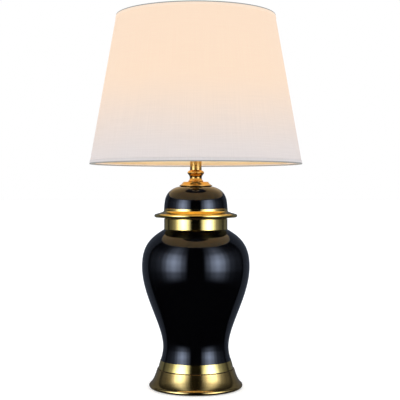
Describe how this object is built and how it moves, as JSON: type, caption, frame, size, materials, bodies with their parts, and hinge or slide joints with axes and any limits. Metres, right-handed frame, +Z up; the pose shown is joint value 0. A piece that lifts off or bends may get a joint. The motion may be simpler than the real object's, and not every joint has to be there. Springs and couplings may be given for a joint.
{
  "type": "table lamp",
  "caption": "Table lamp with a black ginger-jar base, gold bands, a flared brass plinth and a tapered linen shade on a harp.",
  "frame": {"origin": "middle of the felt pad's underside, on the surface that the lamp stands on", "axes": "+Z up along the lamp, -Y towards the front with the switch knob, +Y towards the cord inlet, +X to the right seen from the front"},
  "size_m": [0.3999, 0.4, 0.7076],
  "materials": {
    "felt": "pressed felt",
    "steel": "zinc plated",
    "cast_iron": "painted",
    "antique_brass": "satin antique",
    "black_rubber": "moulded",
    "cork": "dark cork",
    "black_glaze": "high gloss glaze",
    "gilding": "polished gilding",
    "polished_brass": "polished and lacquered",
    "fibre": "vulcanised fibre",
    "phenolic": "moulded",
    "contact_brass": "plain",
    "knob_plastic": "moulded",
    "bulb_glass": "frosted, emissive",
    "nickel": "nickel plated",
    "stem_glass": "clear",
    "shade_linen": "plain weave linen",
    "shade_lining": "white sheet",
    "trim_tape": "folded woven tape"
  },
  "bodies": {
    "base": {"felt_pad": "felt", "bottom_plate": "steel", "base_weight": "cast_iron", "plinth": "antique_brass", "cord_bush": "black_rubber", "foot_ring": "cork", "jar": "black_glaze", "foot_band": "gilding", "neck_band": "gilding", "neck_ring": "cork", "lid_rim": "gilding", "lid_dome": "black_glaze", "canopy": "polished_brass", "spindle": "polished_brass", "stem_tube": "polished_brass", "check_ring": "polished_brass", "threaded_rod": "steel", "rod_washer": "steel", "rod_nut": "steel", "harp_saddle": "nickel", "holder_cap": "polished_brass", "set_screw": "steel", "holder_shell": "polished_brass", "shell_liner": "fibre", "holder_core": "phenolic", "terminal_screws": "contact_brass", "screw_shell": "contact_brass", "centre_contact": "contact_brass"},
    "knob": {"switch_knob": "knob_plastic", "knob_shaft": "contact_brass"},
    "bulb": {"bulb_glass": "bulb_glass", "bulb_base": "nickel", "bulb_contact": "phenolic", "bulb_stem": "stem_glass"},
    "harp": {"harp_bow": "nickel"},
    "sleeve_left": {"sleeve_left": "polished_brass"},
    "sleeve_right": {"sleeve_right": "polished_brass"},
    "stud": {"harp_stud": "polished_brass"},
    "shade": {"shade_cloth": "shade_linen", "shade_liner": "shade_lining", "top_trim": "trim_tape", "bottom_trim": "trim_tape", "spider": "steel", "bottom_ring": "steel"},
    "finial": {"finial": "polished_brass"}
  },
  "joints": [
    {"name": "knob_turn", "type": "hinge", "parent": "base", "child": "knob", "pos_m": [0, -0.0245, 0.4846], "axis": [0, -1, 0], "continuous": true},
    {"name": "bulb_lift", "type": "slide", "parent": "base", "child": "bulb", "axis": [0, 0, 1], "range_m": [0, 0.03]},
    {"name": "harp_lift", "type": "slide", "parent": "base", "child": "harp", "axis": [0, 0, 1], "range_m": [0, 0.03]},
    {"name": "sleeve_left_lift", "type": "slide", "parent": "harp", "child": "sleeve_left", "axis": [0, 0, 1], "range_m": [0, 0.011]},
    {"name": "sleeve_right_lift", "type": "slide", "parent": "harp", "child": "sleeve_right", "axis": [0, 0, 1], "range_m": [0, 0.011]},
    {"name": "shade_turn", "type": "hinge", "parent": "harp", "child": "stud", "pos_m": [0, 0, 0.682], "axis": [0, 0, 1], "continuous": true},
    {"name": "shade_lift", "type": "slide", "parent": "stud", "child": "shade", "axis": [0, 0, 1], "range_m": [0, 0.3]},
    {"name": "finial_lift", "type": "slide", "parent": "shade", "child": "finial", "axis": [0, 0, 1], "range_m": [0, 0.02]}
  ]
}
